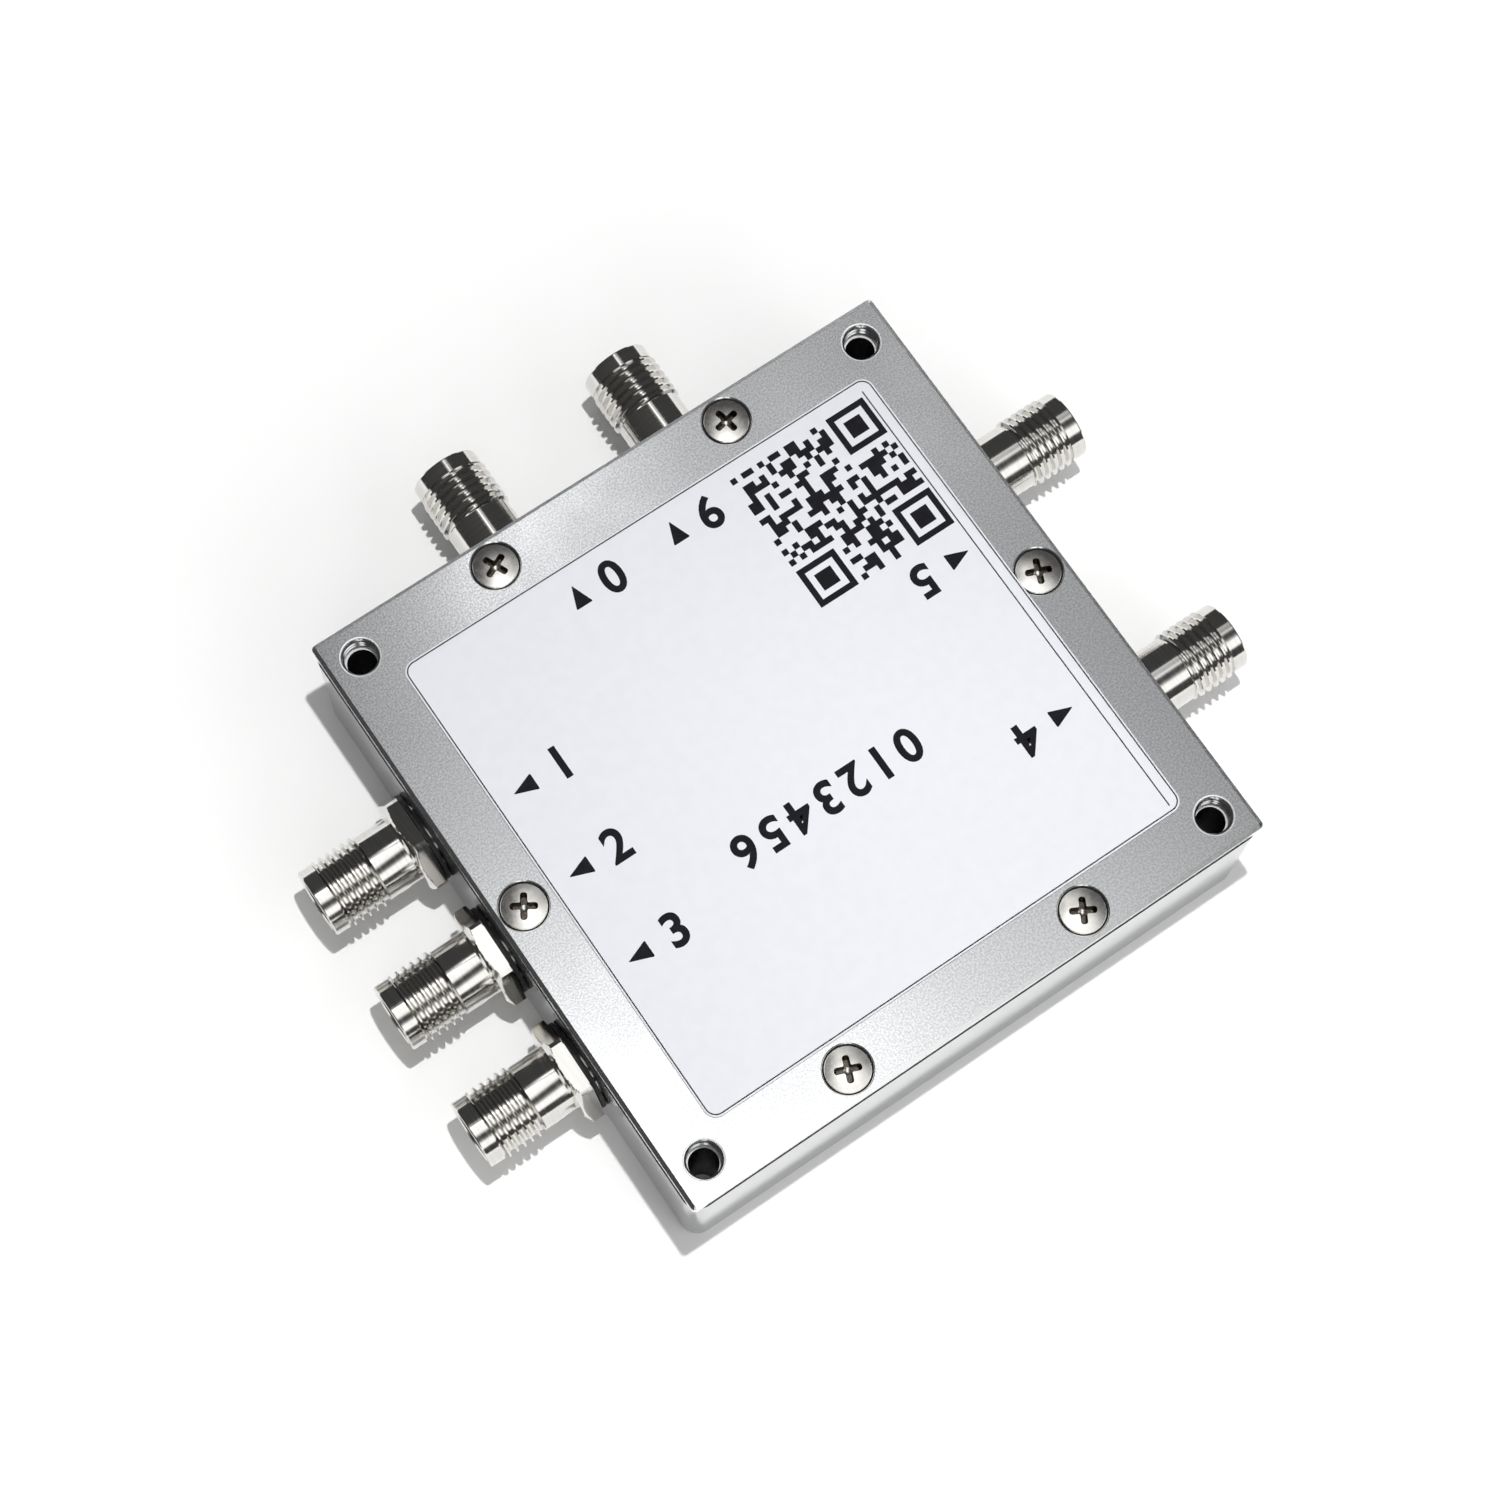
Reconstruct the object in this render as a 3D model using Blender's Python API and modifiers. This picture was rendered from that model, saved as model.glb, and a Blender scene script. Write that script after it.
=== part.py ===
"""Six-way coaxial power splitter: milled box, screwed lid and seven threaded jacks.

Units are metres. The origin is the centre of the underside and +Z is up.
Three output jacks with hexagons face -X, one output and the common jack face +Y,
and the last two outputs face +X. The -Y side is blank.
"""
import math

import bmesh
import bpy
from mathutils import Matrix

# Housing
body_width = 0.055
body_depth = 0.055
base_height = 0.0132
lid_thickness = 0.0012
seam_gap = 0.0001
wall = 0.0046
floor_thickness = 0.0020
corner_radius = 0.0015
pocket_radius = 0.0030
edge_chamfer = 0.0003
edge_break = 0.00015

# Fixing holes through the corners
fixing_inset = 0.0030
fixing_tapped_radius = 0.00125
fixing_lid_radius = 0.00170

# Lid screws, countersunk and flush with the lid
lid_screw_inset = 0.00255
lid_screw_end_inset = 0.0162
lid_screw_head_radius = 0.00190
lid_screw_head_height = 0.00095
lid_screw_shank_radius = 0.00095
lid_screw_tip_room = 0.0011
screw_clearance = 0.00015
pilot_room = 0.0005

# Label stuck on the lid
label_margin_left = 0.0051
label_margin_right = 0.0044
label_margin_front = 0.0050
label_margin_back = 0.0056
label_radius = 0.0011
label_thickness = 0.00012
label_gap = 0.00005

# Coaxial jacks, lengths measured outward from the wall
jack_axis_height = 0.0061
left_jack_room = 0.0034
right_jack_inset = 0.0161
common_jack_inset = 0.0185
back_output_inset = 0.0193
plain_reach = 0.0096
hex_reach = 0.0104
thread_radius = 0.003135
front_ring_radius = 0.00300
front_ring_length = 0.00132
neck_radius = 0.00292
thread_length = 0.00400
bore_radius = 0.00230
front_chamfer = 0.00012
stub_radius = 0.00290
stub_clearance = 0.00020
collar_radius = 0.00335
collar_thickness = 0.00035
seat_gap = 0.0001
shoulder_slope = 0.0001
stub_setback = 0.0003

# Hexagon and washer of the three jacks on the -X side
hex_across_flats = 0.0080
hex_thickness = 0.0015
hex_chamfer = 0.00025
hex_chamfer_slope = 0.6
hex_corner_room = 0.0002
hex_turns = (math.radians(13), math.radians(-6), math.radians(-8))
washer_radius = 0.0040
washer_thickness = 0.00035

# Insulator and centre contact
mating_depth = 0.00195
insulator_radius = 0.00206
contact_radius = 0.000635
contact_clearance = 0.00020
contact_socket_radius = 0.00046
contact_socket_depth = 0.0020
contact_tail_radius = 0.00045
contact_tail_reach = 0.0023

# Circuit board and what stands on it
board_thickness = 0.0008
board_wall_clearance = 0.0005
board_corner_radius = 0.0020
board_gap = 0.0001
post_radius = 0.0022
post_inset = 0.0040
post_foot = 0.0005
board_screw_head_radius = 0.0017
board_screw_head_height = 0.0009
board_screw_shank_radius = 0.0008
board_screw_length = 0.0028
core_outer_radius = 0.0021
core_inner_radius = 0.0009
core_height = 0.0018
core_rounding = 0.00027
core_spread = 0.45
resistor_length = 0.0020
resistor_width = 0.00125
resistor_height = 0.00055

# How far a cutting solid runs past the surface it cuts, and the merge at a turned seam
cut_overshoot = 0.0010
merge_distance = 0.00001

# Facets round a full turn
segments_small = 12
segments_medium = 20
segments_jack = 24

lid_bottom = base_height + seam_gap
lid_top = lid_bottom + lid_thickness
half_width = body_width / 2
half_depth = body_depth / 2
lid_screw_length = lid_top - jack_axis_height - stub_radius - stub_clearance - lid_screw_tip_room
left_jack_spacing = hex_across_flats + left_jack_room
right_jack_spacing = half_depth - right_jack_inset
common_jack_x = common_jack_inset - half_width
back_output_x = half_width - back_output_inset
tail_rest = jack_axis_height - contact_tail_radius
board_top = tail_rest - board_gap
board_bottom = board_top - board_thickness
board_screw_seat = board_top + board_gap
board_screw_tip = board_screw_seat - board_screw_length
board_half_x = half_width - wall - board_wall_clearance
board_half_y = half_depth - wall - board_wall_clearance


def clear_scene():
    for ob in list(bpy.data.objects):
        bpy.data.objects.remove(ob, do_unlink=True)


def new_collection(name):
    collection = bpy.data.collections.new(name)
    bpy.context.scene.collection.children.link(collection)
    return collection


def new_material(name, color, roughness, metallic):
    material = bpy.data.materials.new(name)
    material.use_nodes = True
    shader = material.node_tree.nodes["Principled BSDF"]
    shader.inputs["Base Color"].default_value = (*color, 1.0)
    shader.inputs["Roughness"].default_value = roughness
    shader.inputs["Metallic"].default_value = metallic
    material.diffuse_color = (*color, 1.0)
    return material


def new_object(name, mesh, material, collection):
    ob = bpy.data.objects.new(name, mesh)
    collection.objects.link(ob)
    mesh.shade_smooth()
    mesh.set_sharp_from_angle(angle=math.radians(30))
    if not mesh.materials:
        mesh.materials.append(material)
    return ob


def new_cutter(name, mesh):
    ob = bpy.data.objects.new(name, mesh)
    cutters.objects.link(ob)
    ob.hide_render = True
    ob.display_type = "WIRE"
    return ob


def mesh_from(bm, name):
    mesh = bpy.data.meshes.new(name)
    bm.to_mesh(mesh)
    bm.free()
    return mesh


def plate(name, left, right, front, back, bottom, top, radius, arc_segments=4, rim_break=0.0):
    """Flat slab with rounded upright edges, and a broken edge round its top and bottom if asked."""
    bm = bmesh.new()
    bmesh.ops.create_cube(bm, size=1.0)
    bmesh.ops.scale(bm, vec=(right - left, back - front, top - bottom), verts=bm.verts)
    bmesh.ops.translate(bm, vec=((left + right) / 2, (front + back) / 2, (bottom + top) / 2), verts=bm.verts)
    upright = [e for e in bm.edges if abs(e.verts[0].co.z - e.verts[1].co.z) > (top - bottom) / 2]
    if radius > 0:
        bmesh.ops.bevel(bm, geom=upright, offset=radius, offset_type="OFFSET", affect="EDGES",
                        segments=arc_segments, profile=0.5, material=-1)
    if rim_break > 0:
        rims = [e for e in bm.edges if abs(e.verts[0].co.z - e.verts[1].co.z) < (top - bottom) / 2]
        bmesh.ops.bevel(bm, geom=rims, offset=rim_break, offset_type="OFFSET", affect="EDGES",
                        segments=1, profile=0.5, material=-1)
    return mesh_from(bm, name)


def upright_cylinder(name, x, y, bottom, top, radius, segments):
    bm = bmesh.new()
    bmesh.ops.create_cone(bm, cap_ends=True, segments=segments, radius1=radius, radius2=radius,
                          depth=top - bottom)
    bmesh.ops.translate(bm, vec=(x, y, (bottom + top) / 2), verts=bm.verts)
    return mesh_from(bm, name)


def profile_mesh(name, points, closed):
    """Profile in the XZ plane: x is the radius and z runs along the axis."""
    bm = bmesh.new()
    verts = [bm.verts.new((radius, 0.0, along)) for radius, along in points]
    for first, second in zip(verts, verts[1:]):
        bm.edges.new((first, second))
    if closed:
        bm.edges.new((verts[-1], verts[0]))
    return mesh_from(bm, name)


def add_screw(ob, steps):
    turn = ob.modifiers.new("Turn", "SCREW")
    turn.axis = "Z"
    turn.angle = math.tau
    turn.steps = steps
    turn.render_steps = steps
    turn.use_merge_vertices = True
    turn.merge_threshold = merge_distance
    turn.use_smooth_shade = True
    return turn


def add_boolean(ob, cutter, operation):
    cut = ob.modifiers.new(operation.title(), "BOOLEAN")
    cut.operation = operation
    cut.solver = "EXACT"
    cut.object = cutter
    return cut


def jack_places():
    """Name, side, place along the side and hexagon turn of each jack."""
    return [
        ("jack_0", "back", common_jack_x, None),
        ("jack_1", "left", left_jack_spacing, hex_turns[0]),
        ("jack_2", "left", 0.0, hex_turns[1]),
        ("jack_3", "left", -left_jack_spacing, hex_turns[2]),
        ("jack_4", "right", -right_jack_spacing, None),
        ("jack_5", "right", right_jack_spacing, None),
        ("jack_6", "back", back_output_x, None),
    ]


def jack_matrix(side, along):
    """Matrix that puts the local origin on the wall and local +Z outward."""
    if side == "left":
        seat = Matrix.Translation((-half_width, along, jack_axis_height))
        return seat @ Matrix.Rotation(-math.pi / 2, 4, "Y")
    if side == "right":
        seat = Matrix.Translation((half_width, along, jack_axis_height))
        return seat @ Matrix.Rotation(math.pi / 2, 4, "Y")
    seat = Matrix.Translation((along, half_depth, jack_axis_height))
    return seat @ Matrix.Rotation(-math.pi / 2, 4, "X")


def fixing_places():
    x = half_width - fixing_inset
    y = half_depth - fixing_inset
    return [(x, y), (-x, y), (-x, -y), (x, -y)]


def lid_screw_places():
    x = half_width - lid_screw_inset
    y = half_depth - lid_screw_inset
    side = half_width - lid_screw_end_inset
    return [(-side, y), (side, y), (x, 0.0), (side, -y), (-side, -y), (-x, 0.0)]


def post_places():
    x = half_width - wall - post_inset
    y = half_depth - wall - post_inset
    return [(x, y), (-x, y), (-x, -y), (x, -y)]


def build_base():
    mesh = plate("housing_base", -half_width, half_width, -half_depth, half_depth, 0.0, base_height,
                 corner_radius, 5, edge_break)
    base = new_object("housing_base", mesh, aluminium, parts)
    pocket = new_cutter("pocket_cutter", plate(
        "pocket_cutter", -half_width + wall, half_width - wall, -half_depth + wall, half_depth - wall,
        floor_thickness, base_height + cut_overshoot, pocket_radius, 5))
    add_boolean(base, pocket, "DIFFERENCE")
    for number, (x, y) in enumerate(post_places(), 1):
        post = new_cutter(f"post_{number}", upright_cylinder(
            f"post_{number}", x, y, floor_thickness - post_foot, board_bottom - board_gap, post_radius,
            segments_small))
        add_boolean(base, post, "UNION")
        pilot = new_cutter(f"post_pilot_{number}", upright_cylinder(
            f"post_pilot_{number}", x, y, board_screw_tip - pilot_room, board_bottom + cut_overshoot,
            board_screw_shank_radius + screw_clearance, segments_small))
        add_boolean(base, pilot, "DIFFERENCE")
    for number, (x, y) in enumerate(fixing_places(), 1):
        hole = new_cutter(f"fixing_hole_{number}", upright_cylinder(
            f"fixing_hole_{number}", x, y, -cut_overshoot, base_height + cut_overshoot, fixing_tapped_radius,
            segments_medium))
        add_boolean(base, hole, "DIFFERENCE")
    for number, (x, y) in enumerate(lid_screw_places(), 1):
        pilot = new_cutter(f"lid_pilot_{number}", upright_cylinder(
            f"lid_pilot_{number}", x, y, lid_top - lid_screw_length - pilot_room, base_height + cut_overshoot,
            lid_screw_shank_radius + screw_clearance, segments_small))
        add_boolean(base, pilot, "DIFFERENCE")
    for name, side, along, _turn in jack_places():
        bm = bmesh.new()
        radius = stub_radius + stub_clearance
        depth = wall + 2 * cut_overshoot
        bmesh.ops.create_cone(bm, cap_ends=True, segments=segments_jack, radius1=radius, radius2=radius,
                              depth=depth)
        bmesh.ops.translate(bm, vec=(0, 0, -wall / 2), verts=bm.verts)
        bmesh.ops.transform(bm, matrix=jack_matrix(side, along), verts=bm.verts)
        bore = new_cutter(f"{name}_bore", mesh_from(bm, f"{name}_bore"))
        add_boolean(base, bore, "DIFFERENCE")
    return base


def build_lid():
    bm = bmesh.new()
    bmesh.ops.create_cube(bm, size=1.0)
    bmesh.ops.scale(bm, vec=(body_width, body_depth, lid_thickness), verts=bm.verts)
    bmesh.ops.translate(bm, vec=(0, 0, (lid_bottom + lid_top) / 2), verts=bm.verts)
    top_edges = [e for e in bm.edges if all(v.co.z > lid_bottom + lid_thickness / 2 for v in e.verts)]
    bmesh.ops.bevel(bm, geom=top_edges, offset=edge_chamfer, offset_type="OFFSET", affect="EDGES",
                    segments=1, profile=0.5, material=-1)
    lid = new_object("lid", mesh_from(bm, "lid"), aluminium, parts)
    for number, (x, y) in enumerate(fixing_places(), 1):
        hole = new_cutter(f"lid_fixing_hole_{number}", upright_cylinder(
            f"lid_fixing_hole_{number}", x, y, lid_bottom - cut_overshoot, lid_top + cut_overshoot,
            fixing_lid_radius, segments_medium))
        add_boolean(lid, hole, "DIFFERENCE")
    sink_points = lid_screw_profile(screw_clearance, lid_top + cut_overshoot)
    for number, (x, y) in enumerate(lid_screw_places(), 1):
        sink = new_cutter(f"lid_sink_{number}", profile_mesh(f"lid_sink_{number}", sink_points, False))
        add_screw(sink, segments_medium)
        sink.location = (x, y, 0.0)
        add_boolean(lid, sink, "DIFFERENCE")
    return lid


def lid_screw_profile(clearance, top):
    """Head cone and shank of a lid screw, grown by a clearance all round."""
    head = lid_screw_head_radius + clearance
    shank = lid_screw_shank_radius + clearance
    cone_bottom = lid_top - lid_screw_head_height - clearance
    tip = lid_top - lid_screw_length - clearance
    return [(0.0, top), (head, top), (head, lid_top - shoulder_slope), (shank, cone_bottom),
            (shank, tip), (0.0, tip)]


def build_lid_screws():
    points = lid_screw_profile(0.0, lid_top)
    mesh = profile_mesh("lid_screw", points, False)
    for number, (x, y) in enumerate(lid_screw_places(), 1):
        screw = new_object(f"lid_screw_{number}", mesh, steel, parts)
        screw.location = (x, y, 0.0)
        add_screw(screw, segments_medium)


def build_label():
    bottom = lid_top + label_gap
    mesh = plate("label", label_margin_left - half_width, half_width - label_margin_right,
                 label_margin_front - half_depth, half_depth - label_margin_back, bottom,
                 bottom + label_thickness, label_radius, 4)
    new_object("label", mesh, paper, parts)


def shell_profile(reach, collar, hexed):
    """Closed section of a jack shell, from its front face down the outside to its rear."""
    thread_front = reach - front_ring_length
    thread_back = thread_front - thread_length
    rear = -wall + stub_setback
    points = [
        (bore_radius + front_chamfer, reach),
        (front_ring_radius - front_chamfer, reach),
        (front_ring_radius, reach - front_chamfer),
        (front_ring_radius, thread_front),
        (thread_radius, thread_front - shoulder_slope),
        (thread_radius, thread_back + shoulder_slope),
        (neck_radius, thread_back),
    ]
    if hexed:
        points += [(neck_radius, seat_gap), (stub_radius, 0.0)]
    else:
        points += [(neck_radius, seat_gap + collar), (collar_radius, seat_gap + collar),
                   (collar_radius, seat_gap), (stub_radius, seat_gap)]
    points += [(stub_radius, rear), (bore_radius, rear), (bore_radius, reach - front_chamfer)]
    return points


def hexagon(name, turn):
    """Chamfered hexagon with a hole that the neck fills when the two are joined."""
    back = washer_thickness + 2 * seat_gap
    front = back + hex_thickness
    corner = hex_across_flats / math.sqrt(3)
    bm = bmesh.new()
    bmesh.ops.create_cone(bm, cap_ends=True, segments=6, radius1=corner, radius2=corner,
                          depth=hex_thickness)
    bmesh.ops.translate(bm, vec=(0, 0, (front + back) / 2), verts=bm.verts)
    bmesh.ops.rotate(bm, cent=(0, 0, 0), matrix=Matrix.Rotation(turn, 3, "Z"), verts=bm.verts)
    ob = new_cutter(name, mesh_from(bm, name))
    flat = hex_across_flats / 2
    rim = front - (hex_chamfer + corner - flat) * hex_chamfer_slope
    inner = (bore_radius + neck_radius) / 2
    envelope_points = [
        (inner, front + cut_overshoot), (flat - hex_chamfer, front + cut_overshoot),
        (flat - hex_chamfer, front), (corner + hex_corner_room, rim),
        (corner + hex_corner_room, back - cut_overshoot), (inner, back - cut_overshoot),
    ]
    envelope = new_cutter(f"{name}_envelope", profile_mesh(f"{name}_envelope", envelope_points, True))
    add_screw(envelope, segments_jack)
    add_boolean(ob, envelope, "INTERSECT")
    return ob, envelope


def build_jack(name, side, along, turn):
    hexed = turn is not None
    reach = hex_reach if hexed else plain_reach
    place = jack_matrix(side, along)
    rear = -wall
    shell = new_object(f"{name}_body", profile_mesh(f"{name}_body", shell_profile(
        reach, collar_thickness, hexed), True), nickel, parts)
    shell.matrix_world = place
    add_screw(shell, segments_jack)
    if hexed:
        nut, envelope = hexagon(f"{name}_hexagon", turn)
        nut.matrix_world = place
        envelope.matrix_world = place
        add_boolean(shell, nut, "UNION")
        washer_points = [
            (stub_radius + stub_clearance, seat_gap + washer_thickness),
            (washer_radius, seat_gap + washer_thickness),
            (washer_radius, seat_gap), (stub_radius + stub_clearance, seat_gap),
        ]
        washer = new_object(f"{name}_washer", profile_mesh(f"{name}_washer", washer_points, True),
                            nickel, parts)
        washer.matrix_world = place
        add_screw(washer, segments_jack)

    insulator_front = reach - mating_depth
    hole = contact_radius + contact_clearance
    insulator_points = [(hole, insulator_front), (insulator_radius, insulator_front),
                        (insulator_radius, rear), (hole, rear)]
    insulator = new_object(f"{name}_insulator", profile_mesh(f"{name}_insulator", insulator_points, True),
                           ptfe, parts)
    insulator.matrix_world = place
    add_screw(insulator, segments_medium)

    socket_floor = insulator_front - contact_socket_depth
    contact_points = [
        (0.0, socket_floor), (contact_socket_radius, socket_floor),
        (contact_socket_radius, insulator_front), (contact_radius, insulator_front),
        (contact_radius, rear), (contact_tail_radius, rear - shoulder_slope),
        (contact_tail_radius, rear - contact_tail_reach), (0.0, rear - contact_tail_reach),
    ]
    contact = new_object(f"{name}_contact", profile_mesh(f"{name}_contact", contact_points, False),
                         gold, parts)
    contact.matrix_world = place
    add_screw(contact, segments_small)


def build_board():
    mesh = plate("circuit_board", -board_half_x, board_half_x, -board_half_y, board_half_y,
                 board_bottom, board_top, board_corner_radius, 3)
    board = new_object("circuit_board", mesh, laminate, parts)
    head_top = board_screw_seat + board_screw_head_height
    points = [
        (0.0, head_top), (board_screw_head_radius, head_top),
        (board_screw_head_radius, board_screw_seat), (board_screw_shank_radius, board_screw_seat),
        (board_screw_shank_radius, board_screw_tip), (0.0, board_screw_tip),
    ]
    screw_mesh = profile_mesh("board_screw", points, False)
    for number, (x, y) in enumerate(post_places(), 1):
        hole = new_cutter(f"board_hole_{number}", upright_cylinder(
            f"board_hole_{number}", x, y, board_bottom - cut_overshoot, board_top + cut_overshoot,
            board_screw_shank_radius + screw_clearance, segments_small))
        add_boolean(board, hole, "DIFFERENCE")
        screw = new_object(f"board_screw_{number}", screw_mesh, steel, parts)
        screw.location = (x, y, 0.0)
        add_screw(screw, segments_small)


def build_transformers():
    """Ferrite rings that divide the signal, standing on the board."""
    seat = board_top + board_gap
    points = [
        (core_inner_radius + core_rounding, seat + core_height),
        (core_outer_radius - core_rounding, seat + core_height),
        (core_outer_radius, seat + core_height - core_rounding), (core_outer_radius, seat + core_rounding),
        (core_outer_radius - core_rounding, seat), (core_inner_radius + core_rounding, seat),
        (core_inner_radius, seat + core_rounding), (core_inner_radius, seat + core_height - core_rounding),
    ]
    mesh = profile_mesh("transformer", points, True)
    spread = board_half_x * core_spread
    places = [(common_jack_x, spread), (-spread, 0.0), (spread, 0.0), (0.0, -spread)]
    for number, (x, y) in enumerate(places, 1):
        core = new_object(f"transformer_{number}", mesh, ferrite, parts)
        core.location = (x, y, 0.0)
        add_screw(core, segments_medium)


def build_resistors():
    """Six chip resistors, each set back from one output contact."""
    seat = board_top + board_gap
    back_off = wall + contact_tail_reach + resistor_length
    outputs = [place for place in jack_places() if place[0] != "jack_0"]
    for number, (_name, side, along, _turn) in enumerate(outputs, 1):
        mesh = plate(f"resistor_{number}", -resistor_length / 2, resistor_length / 2,
                     -resistor_width / 2, resistor_width / 2, seat, seat + resistor_height, 0.0)
        chip = new_object(f"resistor_{number}", mesh, ceramic, parts)
        if side == "left":
            chip.location = (-half_width + back_off, along, 0.0)
        elif side == "right":
            chip.location = (half_width - back_off, along, 0.0)
        else:
            chip.location = (along, half_depth - back_off, 0.0)
            chip.rotation_euler = (0.0, 0.0, math.pi / 2)


clear_scene()
parts = new_collection("rf_power_splitter")
cutters = new_collection("cutters")
aluminium = new_material("blasted_aluminium", (0.56, 0.57, 0.58), 0.42, 1.0)
nickel = new_material("bright_nickel", (0.72, 0.70, 0.66), 0.16, 1.0)
steel = new_material("bright_steel", (0.70, 0.70, 0.70), 0.22, 1.0)
gold = new_material("gold_plate", (0.83, 0.62, 0.28), 0.22, 1.0)
ptfe = new_material("white_ptfe", (0.88, 0.88, 0.86), 0.50, 0.0)
paper = new_material("label_film", (0.84, 0.85, 0.88), 0.45, 0.0)
laminate = new_material("board_laminate", (0.10, 0.26, 0.14), 0.45, 0.0)
ferrite = new_material("ferrite", (0.06, 0.06, 0.065), 0.60, 0.0)
ceramic = new_material("chip_ceramic", (0.10, 0.10, 0.11), 0.50, 0.0)

build_base()
build_lid()
build_lid_screws()
build_label()
for jack_name, jack_side, jack_along, jack_turn in jack_places():
    build_jack(jack_name, jack_side, jack_along, jack_turn)
build_board()
build_transformers()
build_resistors()
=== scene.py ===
import math
import random

import bmesh
import bpy
from mathutils import Matrix, Vector


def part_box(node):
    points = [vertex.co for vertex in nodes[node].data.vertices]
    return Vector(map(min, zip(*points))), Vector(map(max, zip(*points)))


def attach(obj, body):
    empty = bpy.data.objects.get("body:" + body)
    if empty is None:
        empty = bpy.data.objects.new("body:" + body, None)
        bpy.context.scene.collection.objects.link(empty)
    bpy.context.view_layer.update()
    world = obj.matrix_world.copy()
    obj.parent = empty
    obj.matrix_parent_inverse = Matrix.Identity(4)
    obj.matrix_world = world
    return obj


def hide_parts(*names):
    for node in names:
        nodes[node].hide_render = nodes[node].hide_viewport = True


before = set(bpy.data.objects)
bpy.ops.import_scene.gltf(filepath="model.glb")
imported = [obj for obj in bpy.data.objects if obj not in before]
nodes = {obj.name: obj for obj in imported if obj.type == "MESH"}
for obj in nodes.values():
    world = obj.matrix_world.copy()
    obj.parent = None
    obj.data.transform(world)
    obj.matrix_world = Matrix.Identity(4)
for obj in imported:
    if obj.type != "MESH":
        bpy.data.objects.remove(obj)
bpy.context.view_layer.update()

mm = 0.001
tiny = 1e-7  # metres, below which two points are one


# Small helpers for meshes

def finishPiece(name, mesh, material, smoothAngle=32):
    mesh.name = name
    mesh.materials.clear()
    mesh.materials.append(material)
    if smoothAngle:
        mesh.shade_smooth()
        mesh.set_sharp_from_angle(angle=math.radians(smoothAngle))
    piece = bpy.data.objects.new(name, mesh)
    bpy.context.scene.collection.objects.link(piece)
    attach(piece, "root")
    return piece


def paintFaces(piece, material, chosen):
    mesh = piece.data
    mesh.materials.append(material)
    for face in mesh.polygons:
        if chosen(face.center, face.normal):
            face.material_index = len(mesh.materials) - 1


def crispTop(mesh):
    bm = bmesh.new()
    bm.from_mesh(mesh)
    for edge in bm.edges:
        upward = [face.normal.z > 0.999 for face in edge.link_faces]
        if len(set(upward)) == 2:
            edge.smooth = False
    bm.to_mesh(mesh)
    bm.free()


def toMesh(bm, name="work"):
    mesh = bpy.data.meshes.new(name)
    bm.to_mesh(mesh)
    bm.free()
    return mesh


def addTo(bm, extra):
    spare = toMesh(extra)
    bm.from_mesh(spare)
    bpy.data.meshes.remove(spare)


def rise(edge):
    return abs(edge.verts[0].co.z - edge.verts[1].co.z)


def lathe(points, segments, closed=False):
    bm = bmesh.new()
    verts = [bm.verts.new((radius, 0.0, along)) for radius, along in points]
    edges = [bm.edges.new(pair) for pair in zip(verts, verts[1:])]
    if closed:
        edges.append(bm.edges.new((verts[-1], verts[0])))
    bmesh.ops.spin(bm, geom=verts + edges, cent=(0, 0, 0), axis=(0, 0, 1), dvec=(0, 0, 0),
                   angle=math.tau, steps=segments, use_merge=True, use_normal_flip=False,
                   use_duplicate=False)
    bmesh.ops.remove_doubles(bm, verts=bm.verts, dist=tiny)
    bmesh.ops.recalc_face_normals(bm, faces=bm.faces)
    return bm


def slab(low, high, radius=0.0, segments=8, rimTop=0.0, rimBottom=0.0, rimSegments=1):
    bm = bmesh.new()
    bmesh.ops.create_cube(bm, size=1.0)
    size = [b - a for a, b in zip(low, high)]
    bmesh.ops.scale(bm, vec=size, verts=bm.verts)
    bmesh.ops.translate(bm, vec=[(a + b) / 2 for a, b in zip(low, high)], verts=bm.verts)
    middle = (low[2] + high[2]) / 2
    if radius:
        upright = [e for e in bm.edges if rise(e) > size[2] / 2]
        bmesh.ops.bevel(bm, geom=upright, offset=radius, offset_type="OFFSET", affect="EDGES",
                        segments=segments, profile=0.5, material=-1)
    for rim, isTop in ((rimTop, True), (rimBottom, False)):
        if rim:
            edges = [e for e in bm.edges if rise(e) < tiny and (e.verts[0].co.z > middle) == isTop]
            bmesh.ops.bevel(bm, geom=edges, offset=rim, offset_type="OFFSET", affect="EDGES",
                            segments=rimSegments, profile=0.5, material=-1)
    return bm


def drill(bm, x, y, low, high, radius, segments):
    made = bmesh.ops.create_cone(bm, cap_ends=True, segments=segments, radius1=radius,
                                 radius2=radius, depth=high - low)
    bmesh.ops.translate(bm, vec=(x, y, (low + high) / 2), verts=made["verts"])


def carve(bm, cutters):
    work = bpy.data.objects.new("work", toMesh(bm))
    bpy.context.scene.collection.objects.link(work)
    tools = []
    for operation, cutter in cutters:
        tool = bpy.data.objects.new("tool", toMesh(cutter))
        bpy.context.scene.collection.objects.link(tool)
        cut = work.modifiers.new("cut", "BOOLEAN")
        cut.operation = operation
        cut.solver = "EXACT"
        cut.object = tool
        tools.append(tool)
    made = bpy.data.meshes.new_from_object(
        work.evaluated_get(bpy.context.evaluated_depsgraph_get()))
    for item in [work] + tools:
        spare = item.data
        bpy.data.objects.remove(item)
        bpy.data.meshes.remove(spare)
    return made


# Small helpers for materials

def newMaterial(name, color, metallic, roughness):
    material = bpy.data.materials.new(name)
    material.use_nodes = True
    shader = material.node_tree.nodes["Principled BSDF"]
    shader.inputs["Base Color"].default_value = (*color, 1.0)
    shader.inputs["Metallic"].default_value = metallic
    shader.inputs["Roughness"].default_value = roughness
    return material


def addNode(material, kind, **values):
    node = material.node_tree.nodes.new(kind)
    for key, value in values.items():
        node.inputs[key.replace("_", " ")].default_value = value
    return node


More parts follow.
